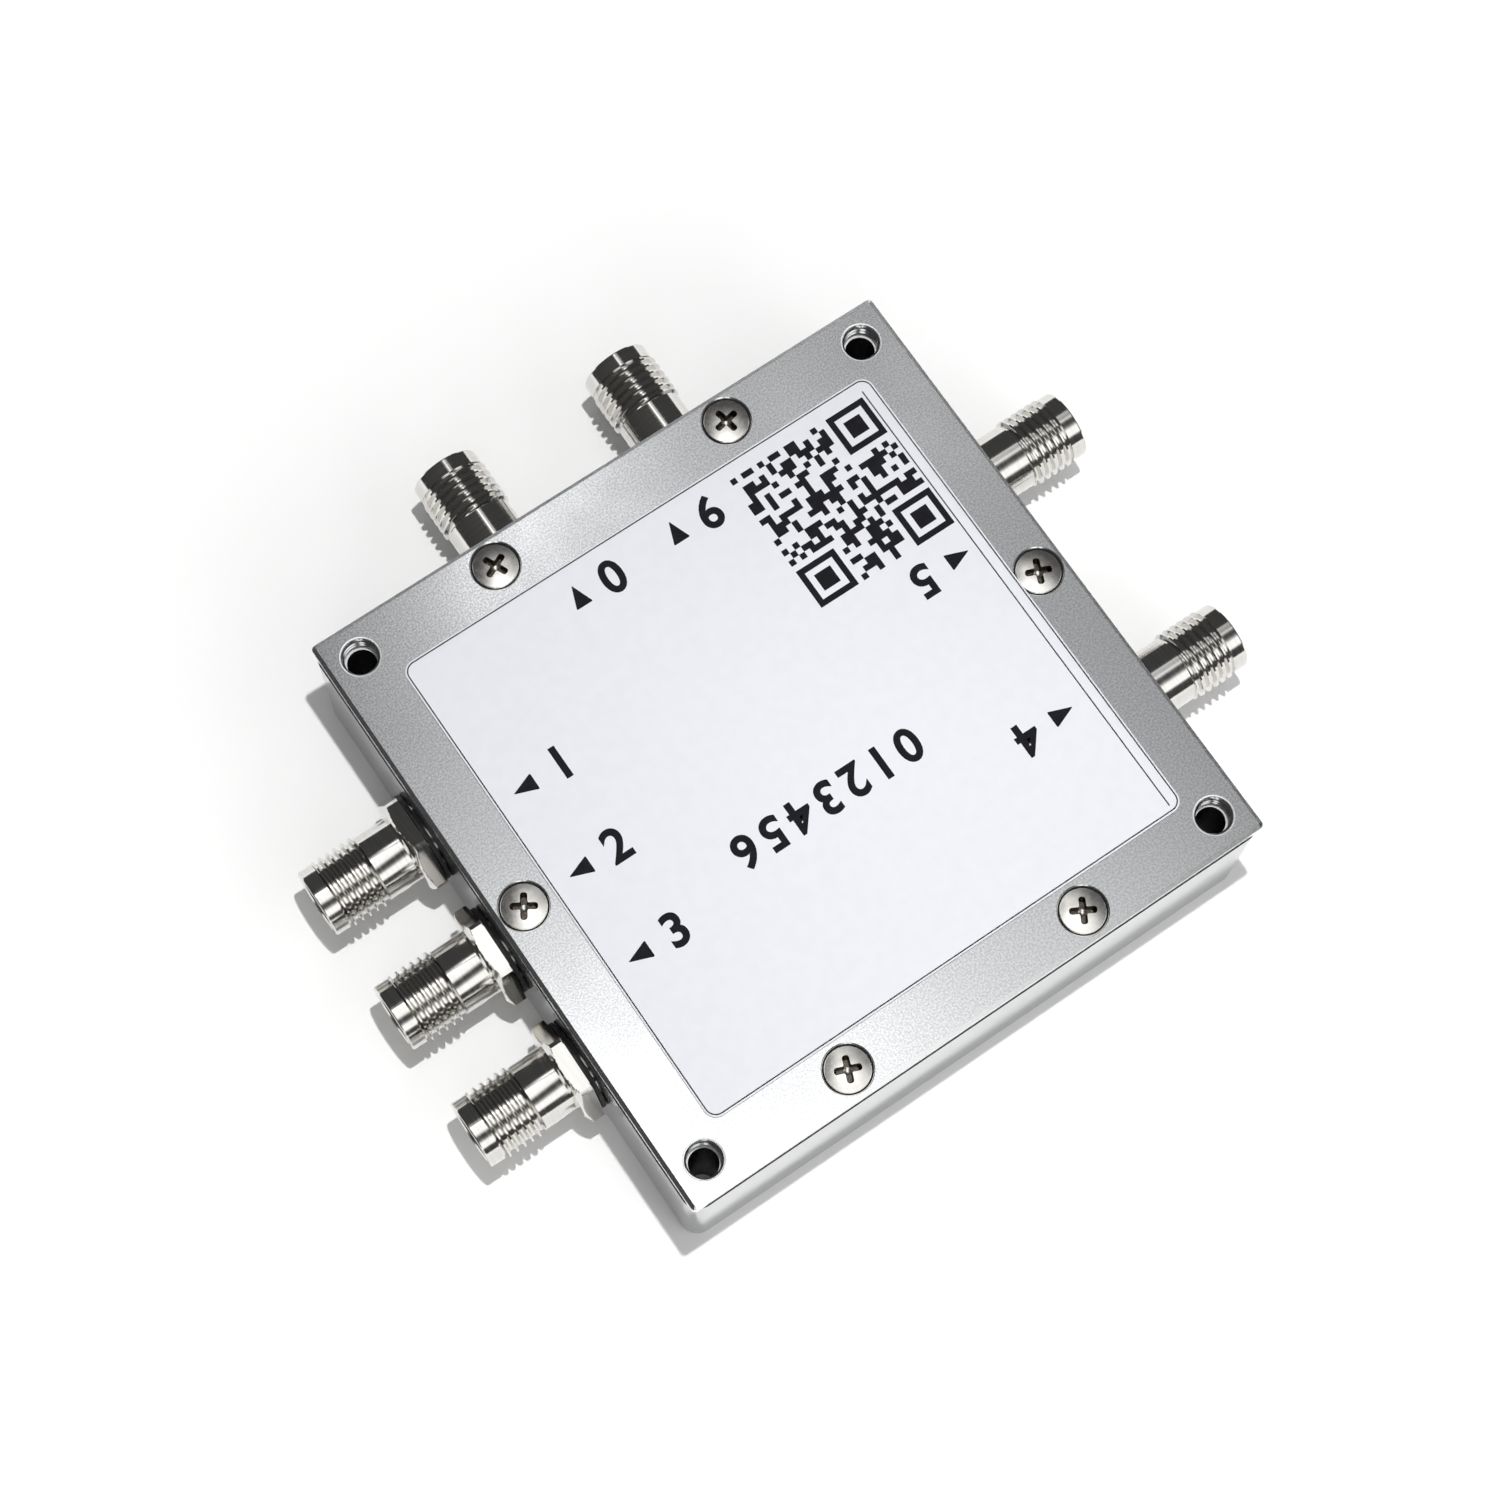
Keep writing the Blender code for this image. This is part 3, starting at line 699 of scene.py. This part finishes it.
def makeLid():
    inset = lid["inset"]
    over = lid["over"]
    top = lidHigh.z
    bm = slab((lidLow.x + inset, lidLow.y + inset, lidLow.z),
              (lidHigh.x - inset, lidHigh.y - inset, top), lid["cornerRadius"], 5, lid["chamfer"],
              lid["underBreak"], 1)
    for vert in bm.verts:
        if abs(vert.co.z - (top - lid["chamfer"])) < 1e-6:
            vert.co.z = top - lid["chamferDrop"]
    holes = bmesh.new()
    for x, y in cornerPlaces(base["holeInset"]):
        bore = lathe([(0, top + over), (lid["rimRadius"], top + over), (lid["rimRadius"], top),
                      (lid["holeRadius"], top - lid["rimDrop"]), (lid["holeRadius"], lidLow.z - over),
                      (0, lidLow.z - over)], 64)
        bmesh.ops.translate(bore, vec=(x, y, 0), verts=bore.verts)
        addTo(holes, bore)
    for x, y in screwPlaces:
        sink = lathe([(0, top + over), (lid["sinkRadius"] + lid["sinkEdge"] + over, top + over),
                      (lid["sinkRadius"], top - lid["sinkEdge"]),
                      (lid["sinkRadius"], top - 2 * lid["sinkEdge"]),
                      (lid["sinkNeck"], top - lid["sinkDepth"]),
                      (lid["sinkNeck"], lidLow.z - over), (0, lidLow.z - over)], 64)
        bmesh.ops.translate(sink, vec=(x, y, 0), verts=sink.verts)
        addTo(holes, sink)
    mesh = carve(bm, [("DIFFERENCE", holes)])
    piece = finishPiece("lid_plate", mesh, aluminium, 25)
    crispTop(mesh)  # the hole rims must not shade the flat top
    inside = lidHigh.x - lid["inset"] - lid["chamfer"]
    paintFaces(piece, cutAluminium, lambda spot, normal: -0.2 < normal.z < 0.95 and (
        max(abs(spot.x), abs(spot.y)) > inside or (normal.z > 0.05 and spot.z > top - lid["sinkEdge"])))
    holePlaces = cornerPlaces(base["holeInset"])
    # painted highlight on the rim chamfer of each fixing hole
    paintFaces(piece, highlightRim, lambda spot, normal: 0.05 < normal.z < 0.95
               and distanceTo(spot, holePlaces) < lid["rimRadius"])
    paintFaces(piece, seamShade, lambda spot, normal: abs(normal.z) < 0.95
               and distanceTo(spot, screwPlaces) < lid["sinkRadius"] + lid["paintRoom"])
    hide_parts("lid")


makeLid()


# Countersunk cross-recess lid screws

screw = {
    "headRadius": 1.90 * mm, "headHeight": 0.95 * mm, "shankRadius": 0.95 * mm, "length": 4.2 * mm,
    "crown": 0.06 * mm, "drop": 0.05 * mm, "edge": 0.07 * mm,
    "recess": 2.70 * mm, "arm": 0.68 * mm, "recessDepth": 0.80 * mm, "taper": 0.66,
    "pit": 0.46 * mm, "pitBottom": 0.30 * mm, "pitDepth": 0.92 * mm, "pitWall": 0.3 * mm,
    "pitPoint": 0.1 * mm, "over": 0.5 * mm, "tipChamfer": 0.2 * mm, "rows": 6, "armRound": 0.42,
    "paintRoom": 0.02 * mm,
    "turns": [25, 11, -22, -29, -22, -32],
}


def makeLidScrews():
    top = lidHigh.z
    head = screw["headRadius"]
    rim = head - screw["edge"]
    shank = screw["shankRadius"]
    tip = top - screw["length"]
    bevel = screw["tipChamfer"]
    rows = screw["rows"]
    fall = screw["crown"] + screw["drop"]
    crown = [(rim * k / rows, top + screw["crown"] - fall * (k / rows) ** 2) for k in range(rows + 1)]
    for number, ((x, y), turn) in enumerate(zip(screwPlaces, screw["turns"]), 1):
        bm = lathe(crown + [
            (head, top - screw["drop"] - screw["edge"]), (shank, top - screw["headHeight"]),
            (shank, tip + bevel), (shank - bevel, tip), (0, tip)], 64)
        cutters = []
        for quarter in range(2):
            arm = bmesh.new()
            made = bmesh.ops.create_cube(arm, size=1.0)
            upright = [e for e in arm.edges if rise(e) > 0.5]
            bmesh.ops.scale(arm, vec=(screw["recess"], screw["arm"], 2 * screw["recessDepth"]),
                            verts=made["verts"])
            bmesh.ops.bevel(arm, geom=upright, offset=screw["arm"] * screw["armRound"],
                            offset_type="OFFSET", affect="EDGES", segments=5, profile=0.5, material=-1)
            for vert in arm.verts:
                if vert.co.z < 0:
                    vert.co.x *= screw["taper"]
                    vert.co.y *= screw["taper"]
            spin = Matrix.Rotation(math.radians(turn + 90 * quarter), 3, "Z")
            bmesh.ops.rotate(arm, cent=(0, 0, 0), matrix=spin, verts=arm.verts)
            bmesh.ops.translate(arm, vec=(0, 0, top), verts=arm.verts)
            cutters.append(("DIFFERENCE", arm))
        pit = lathe([(0, top + screw["over"]), (screw["pit"], top + screw["over"]),
                     (screw["pit"], top - screw["pitWall"]),
                     (screw["pitBottom"], top - screw["pitDepth"] + screw["pitPoint"]),
                     (0, top - screw["pitDepth"])], 24)
        cutters.append(("DIFFERENCE", pit))
        mesh = carve(bm, cutters)
        piece = finishPiece(f"countersunk_screw_{number}", mesh, screwSteel, 30)
        paintFaces(piece, recessShade, lambda spot, normal: inRecess(spot, normal, top))
        mesh.transform(Matrix.Translation((x, y, 0)))
        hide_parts(f"lid_screw_{number}")


def inRecess(spot, normal, top):
    reach = math.hypot(spot.x, spot.y)
    onCrown = normal.z > 0.98 and spot.z > top - 1.5 * screw["drop"]
    deep = top - screw["headHeight"] < spot.z and reach < screw["recess"] / 2 + screw["paintRoom"]
    return deep and not onCrown and reach > screw["pitBottom"]


makeLidScrews()
print("housing, lid and screws made")


# Label film and its print

label = {
    "cornerRadius": 1.1 * mm, "lineInset": 0.14 * mm, "lineWidth": 0.11 * mm,
    "inkThickness": 0.012 * mm, "sunk": 0.004 * mm,
    "sideLineX": 22.0 * mm, "sideLineLow": -21.9 * mm, "sideLineHigh": 20.8 * mm,
    "digit": 4.0 * mm, "bold": 0.026, "wordSpace": 0.55, "apart": 1.6 * mm,
    "pointer": 1.35 * mm, "pointerNarrow": 0.66, "pointerRound": 0.12 * mm, "rim": 0.03 * mm,
}
inkFoot = labelHigh.z - label["sunk"]
inkMiddle = inkFoot + label["inkThickness"] / 2


def makeLabel():
    bm = slab(labelLow, labelHigh, label["cornerRadius"], 12, label["rim"], 0.0, 2)
    piece = finishPiece("label_sheet", toMesh(bm), labelFilm, 30)
    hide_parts("label")

    frameBm = bmesh.new()
    bmesh.ops.create_grid(frameBm, x_segments=1, y_segments=1, size=0.5)
    inset = label["lineInset"]
    wide = labelHigh.x - labelLow.x - 2 * inset
    deep = labelHigh.y - labelLow.y - 2 * inset
    bmesh.ops.scale(frameBm, vec=(wide, deep, 1), verts=frameBm.verts)
    bmesh.ops.bevel(frameBm, geom=frameBm.verts[:], offset=label["cornerRadius"] - inset,
                    offset_type="OFFSET", affect="VERTICES", segments=12, profile=0.5, material=-1)
    made = bmesh.ops.inset_region(frameBm, faces=frameBm.faces[:], thickness=label["lineWidth"],
                                  use_even_offset=True, use_boundary=True)
    rim = set(made["faces"])
    bmesh.ops.delete(frameBm, geom=[f for f in frameBm.faces if f not in rim], context="FACES")
    thicken(frameBm)
    middle = ((labelLow.x + labelHigh.x) / 2, (labelLow.y + labelHigh.y) / 2, 0)
    bmesh.ops.translate(frameBm, vec=middle, verts=frameBm.verts)
    finishPiece("label_outline", toMesh(frameBm), lineInk, 0)

    line = bmesh.new()
    addBlock(line, label["sideLineX"] - label["lineWidth"] / 2, label["sideLineLow"],
             label["sideLineX"] + label["lineWidth"] / 2, label["sideLineHigh"])
    finishPiece("label_side_line", toMesh(line), lineInk, 0)


def thicken(bm):
    made = bmesh.ops.extrude_face_region(bm, geom=bm.faces[:], use_keep_orig=True)
    upper = [item for item in made["geom"] if isinstance(item, bmesh.types.BMVert)]
    bmesh.ops.translate(bm, vec=(0, 0, label["inkThickness"]), verts=upper)
    bmesh.ops.translate(bm, vec=(0, 0, inkFoot), verts=bm.verts)
    bmesh.ops.recalc_face_normals(bm, faces=bm.faces)


def addBlock(bm, left, front, right, back):
    made = bmesh.ops.create_cube(bm, size=1.0)
    bmesh.ops.scale(bm, vec=(right - left, back - front, label["inkThickness"]), verts=made["verts"])
    bmesh.ops.translate(bm, vec=((left + right) / 2, (front + back) / 2, inkMiddle),
                        verts=made["verts"])


makeLabel()

# Plain numbers and pointers beside the jacks: text, centre, turn, pointer turn or None
prints = [
    ("0", (-5.6, 18.7), 0, 90), ("6", (4.0, 18.9), 0, 90),
    ("1", (-17.7, 8.0), 0, 180), ("2", (-17.8, -0.1), 0, 180), ("3", (-17.75, -8.4), 0, 180),
    ("5", (18.3, 4.6), 180, 0), ("4", (17.5, -10.9), 180, 0),
    ("0 1 2 3 4 5 6", (-0.2, -6.0), 180, None),
]


def makeNumber(index, text, centre, turn, pointer):
    curve = bpy.data.curves.new("number", "FONT")
    curve.body = text
    curve.size = label["digit"]
    curve.offset = label["bold"] * label["digit"]
    curve.space_word = label["wordSpace"]
    curve.align_x = "CENTER"
    curve.align_y = "CENTER"
    curve.resolution_u = 6
    curve.extrude = label["inkThickness"] / 2
    holder = bpy.data.objects.new("number", curve)
    bpy.context.scene.collection.objects.link(holder)
    mesh = bpy.data.meshes.new_from_object(
        holder.evaluated_get(bpy.context.evaluated_depsgraph_get()))
    bpy.data.objects.remove(holder)
    bpy.data.curves.remove(curve)
    spot = Vector((centre[0] * mm, centre[1] * mm, inkMiddle))
    spin = Matrix.Rotation(math.radians(turn), 4, "Z")
    shift = 0.0 if pointer is None else label["apart"]
    mesh.transform(Matrix.Translation(spot) @ spin @ Matrix.Translation((shift, 0, 0)))
    finishPiece(f"number_{index}", mesh, printInk, 0)
    if pointer is None:
        return
    bm = bmesh.new()
    bmesh.ops.create_cone(bm, cap_ends=True, segments=3, radius1=label["pointer"],
                          radius2=label["pointer"], depth=label["inkThickness"])
    bmesh.ops.scale(bm, vec=(label["pointerNarrow"], 1, 1), verts=bm.verts)
    bmesh.ops.rotate(bm, cent=(0, 0, 0), matrix=Matrix.Rotation(math.radians(pointer - 90), 3, "Z"),
                     verts=bm.verts)
    upright = [e for e in bm.edges if rise(e) > tiny]
    bmesh.ops.bevel(bm, geom=upright, offset=label["pointerRound"], offset_type="OFFSET",
                    affect="EDGES", segments=3, profile=0.5, material=-1)
    side = spin @ Vector((-label["apart"], 0, 0))
    bmesh.ops.translate(bm, vec=spot + side, verts=bm.verts)
    finishPiece(f"pointer_{index}", toMesh(bm), printInk, 0)


for printIndex, (printText, printCentre, printTurn, printPointer) in enumerate(prints):
    makeNumber(printIndex, printText, printCentre, printTurn, printPointer)

# Block patch: three corner squares and blocks drawn by chance, which spell nothing
patch = {"left": 8.5 * mm, "front": 7.2 * mm, "size": 13.2 * mm, "cells": 25, "seed": 11, "fill": 0.5}


def makePatch():
    chance = random.Random(patch["seed"])
    cells = patch["cells"]
    step = patch["size"] / cells
    corners = [(0, 0), (cells - 7, 0), (cells - 7, cells - 7)]
    bm = bmesh.new()

    def block(column, row, width, height):
        left = patch["left"] + column * step
        front = patch["front"] + row * step
        addBlock(bm, left, front, left + width * step, front + height * step)

    for column, row in corners:
        block(column, row, 7, 1)
        block(column, row + 6, 7, 1)
        block(column, row + 1, 1, 5)
        block(column + 6, row + 1, 1, 5)
        block(column + 2, row + 2, 3, 3)
    for row in range(cells):
        run = 0
        for column in range(cells + 1):
            near = any(c - 1 <= column <= c + 7 and r - 1 <= row <= r + 7 for c, r in corners)
            dark = column < cells and not near and chance.random() < patch["fill"]
            if dark:
                run += 1
            elif run:
                block(column - run, row, run, 1)
                run = 0
    finishPiece("block_patch", toMesh(bm), printInk, 0)


makePatch()
print("label made")


# Carried-over solids get their finishes

finishes = {
    "circuit_board": boardGreen, "board_screw": screwSteel, "transformer": ferriteGrey,
    # the washers are painted near black as shade
    "resistor": chipBlack, "washer": washerShade,
}
for nodeName, node in nodes.items():
    for key, material in finishes.items():
        if key in nodeName:
            node.data.materials.clear()
            node.data.materials.append(material)


# Camera

camera = {
    "azimuth": -38.81, "elevation": 73.43, "roll": 4.60, "distance": 282.61 * mm,
    "target": (-0.309 * mm, 3.973 * mm, 0.0), "lens": 80.56,
}


def makeCamera():
    azimuth, elevation = math.radians(camera["azimuth"]), math.radians(camera["elevation"])
    toward = Vector((math.sin(azimuth) * math.cos(elevation),
                     -math.cos(azimuth) * math.cos(elevation), math.sin(elevation)))
    right = (-toward).cross(Vector((0, 0, 1))).normalized()
    up = right.cross(-toward)
    roll = math.radians(camera["roll"])
    rolledRight = math.cos(roll) * right + math.sin(roll) * up
    rolledUp = -math.sin(roll) * right + math.cos(roll) * up
    data = bpy.data.cameras.new("photo_camera")
    data.lens = camera["lens"]
    data.sensor_width = 36.0
    data.clip_start = 0.01
    data.clip_end = 20.0
    holder = bpy.data.objects.new("photo_camera", data)
    bpy.context.scene.collection.objects.link(holder)
    place = Vector(camera["target"]) + camera["distance"] * toward
    turn = Matrix((rolledRight, rolledUp, toward)).transposed()
    holder.matrix_world = Matrix.Translation(place) @ turn.to_4x4()
    bpy.context.scene.camera = holder


makeCamera()


# Floor, lamps and surroundings

studio = {
    "floorColor": (0.93, 0.93, 0.925), "floorSize": 4.0, "mottleScale": 30, "mottleDark": 0.997,
    # extra white of the floor for camera and metal, growing with the distance in metres
    "glowNear": 0.045, "glowFar": 0.32, "glowFrom": 0.045, "glowTo": 0.12,
    "lamps": {
        # name: place, width across and power
        "key": ((0.008, -0.008, 0.36), 0.008, 0.85),
        "fill": ((0.18, -0.72, 0.38), 0.5, 1.0),
    },
    "dim": (0.055, 0.055, 0.056), "stripTurn": 51.2, "stripFrom": 0.14, "stripTo": 0.31,
    # angle from straight up across the strip lights in degrees, and how bright the studio is there
    "bandScale": 2.3,
    "bands": [(-90, 0.02), (-61, 0.03), (-55, 0.6), (-37, 0.6), (-31, 0.12), (-26, 0.03), (-19, 0.03),
              (-13, 0.6), (4, 0.6), (8, 0.12), (12, 0.03), (90, 0.02)],
    # direction, inner and outer radius in degrees, and brightness of each round glow
    "glows": [((0.190, 0.220, 0.957), 4.5, 11.3, 0.62), ((0.162, 0.303, 0.939), 0.3, 2.2, 2.6),
              ((0.083, 0.120, 0.988), 1.0, 6.0, 1.2), ((0.275, 0.295, 0.915), 1.0, 3.5, 0.4),
              ((0.165, 0.360, 0.918), 1.5, 4.0, 0.45)],
}


def makeFloor():
    bm = bmesh.new()
    bmesh.ops.create_grid(bm, x_segments=1, y_segments=1, size=studio["floorSize"] / 2)
    mesh = toMesh(bm, "floor")
    floorMaterial = newMaterial("pale_floor", studio["floorColor"], 0.0, 0.9)
    shaderOf(floorMaterial).inputs["Specular IOR Level"].default_value = 0.0
    mottle = addNoise(floorMaterial, objectPattern(floorMaterial), studio["mottleScale"], 2.0)
    tone = addRamp(floorMaterial, mottle, "Fac", [
        (0.3, [c * studio["mottleDark"] for c in studio["floorColor"]]), (0.7, studio["floorColor"])])
    join(floorMaterial, tone, "Color", shaderOf(floorMaterial), "Base Color")
    tree = floorMaterial.node_tree
    glow = tree.nodes.new("ShaderNodeEmission")
    glow.inputs["Color"].default_value = (1, 1, 1, 1)
    rays = tree.nodes.new("ShaderNodeLightPath").outputs
    seen = mathNode(tree, "ADD", rays["Is Camera Ray"], rays["Is Glossy Ray"], True)
    spot = tree.nodes.new("ShaderNodeTexCoord").outputs["Object"]
    reach = vectorNode(tree, "LENGTH", spot).outputs["Value"]
    level = spanNode(tree, reach, studio["glowFrom"], studio["glowTo"], studio["glowNear"],
                     studio["glowFar"], True)
    tree.links.new(mathNode(tree, "MULTIPLY", seen, level), glow.inputs["Strength"])
    both = tree.nodes.new("ShaderNodeAddShader")
    tree.links.new(shaderOf(floorMaterial).outputs[0], both.inputs[0])
    tree.links.new(glow.outputs[0], both.inputs[1])
    tree.links.new(both.outputs[0], tree.nodes["Material Output"].inputs["Surface"])
    mesh.materials.append(floorMaterial)
    floor = bpy.data.objects.new("floor", mesh)
    bpy.context.scene.collection.objects.link(floor)


def makeLamps():
    for name, (place, width, power) in studio["lamps"].items():
        lamp = bpy.data.lights.new(name, "AREA")
        lamp.shape = "DISK"
        lamp.size = width
        lamp.energy = power
        holder = bpy.data.objects.new(name, lamp)
        bpy.context.scene.collection.objects.link(holder)
        holder.location = place
        holder.rotation_euler = (-Vector(place)).to_track_quat("-Z", "Y").to_euler()
        holder.visible_glossy = False  # the surroundings give the metal its reflections


def makeWorld():
    world = bpy.data.worlds.new("studio")
    bpy.context.scene.world = world
    world.use_nodes = True
    tree = world.node_tree
    place = tree.nodes.new("ShaderNodeTexCoord")
    split = tree.nodes.new("ShaderNodeSeparateXYZ")
    tree.links.new(place.outputs["Generated"], split.inputs[0])
    turn = math.radians(studio["stripTurn"])
    across = mathNode(tree, "SUBTRACT", mathNode(tree, "MULTIPLY", split.outputs["Y"], math.cos(turn)),
                      mathNode(tree, "MULTIPLY", split.outputs["X"], math.sin(turn)))
    along = mathNode(tree, "ADD", mathNode(tree, "MULTIPLY", split.outputs["X"], math.cos(turn)),
                     mathNode(tree, "MULTIPLY", split.outputs["Y"], math.sin(turn)))
    sweep = mathNode(tree, "ARCTAN2", across, split.outputs["Z"])
    share = spanNode(tree, sweep, -math.pi / 2, math.pi / 2, 0.0, 1.0)
    bands = rampNode(tree, share, [((degrees + 90) / 180, (level,) * 3)
                                   for degrees, level in studio["bands"]])
    fade = spanNode(tree, along, studio["stripFrom"], studio["stripTo"], 1.0, 0.0, True)
    scaled = vectorNode(tree, "SCALE", bands.outputs[0])
    scaled.inputs["Scale"].default_value = studio["bandScale"]
    light = mixNode(tree, fade, studio["dim"], scaled.outputs["Vector"])
    for direction, inner, outer, level in studio["glows"]:
        dot = vectorNode(tree, "DOT_PRODUCT", place.outputs["Generated"],
                         Vector(direction).normalized())
        spot = spanNode(tree, dot.outputs["Value"], math.cos(math.radians(outer)),
                        math.cos(math.radians(inner)), 0.0, level, True)
        light = vectorNode(tree, "ADD", light, spot).outputs["Vector"]
    rays = tree.nodes.new("ShaderNodeLightPath")
    seen = mixNode(tree, rays.outputs["Is Camera Ray"], light, (1.0, 1.0, 1.0))
    background = tree.nodes["Background"]
    tree.links.new(seen, background.inputs["Color"])
    background.inputs["Strength"].default_value = 1.0


makeFloor()
makeLamps()
makeWorld()
bpy.context.scene.view_settings.view_transform = "Standard"
print("camera and studio made")
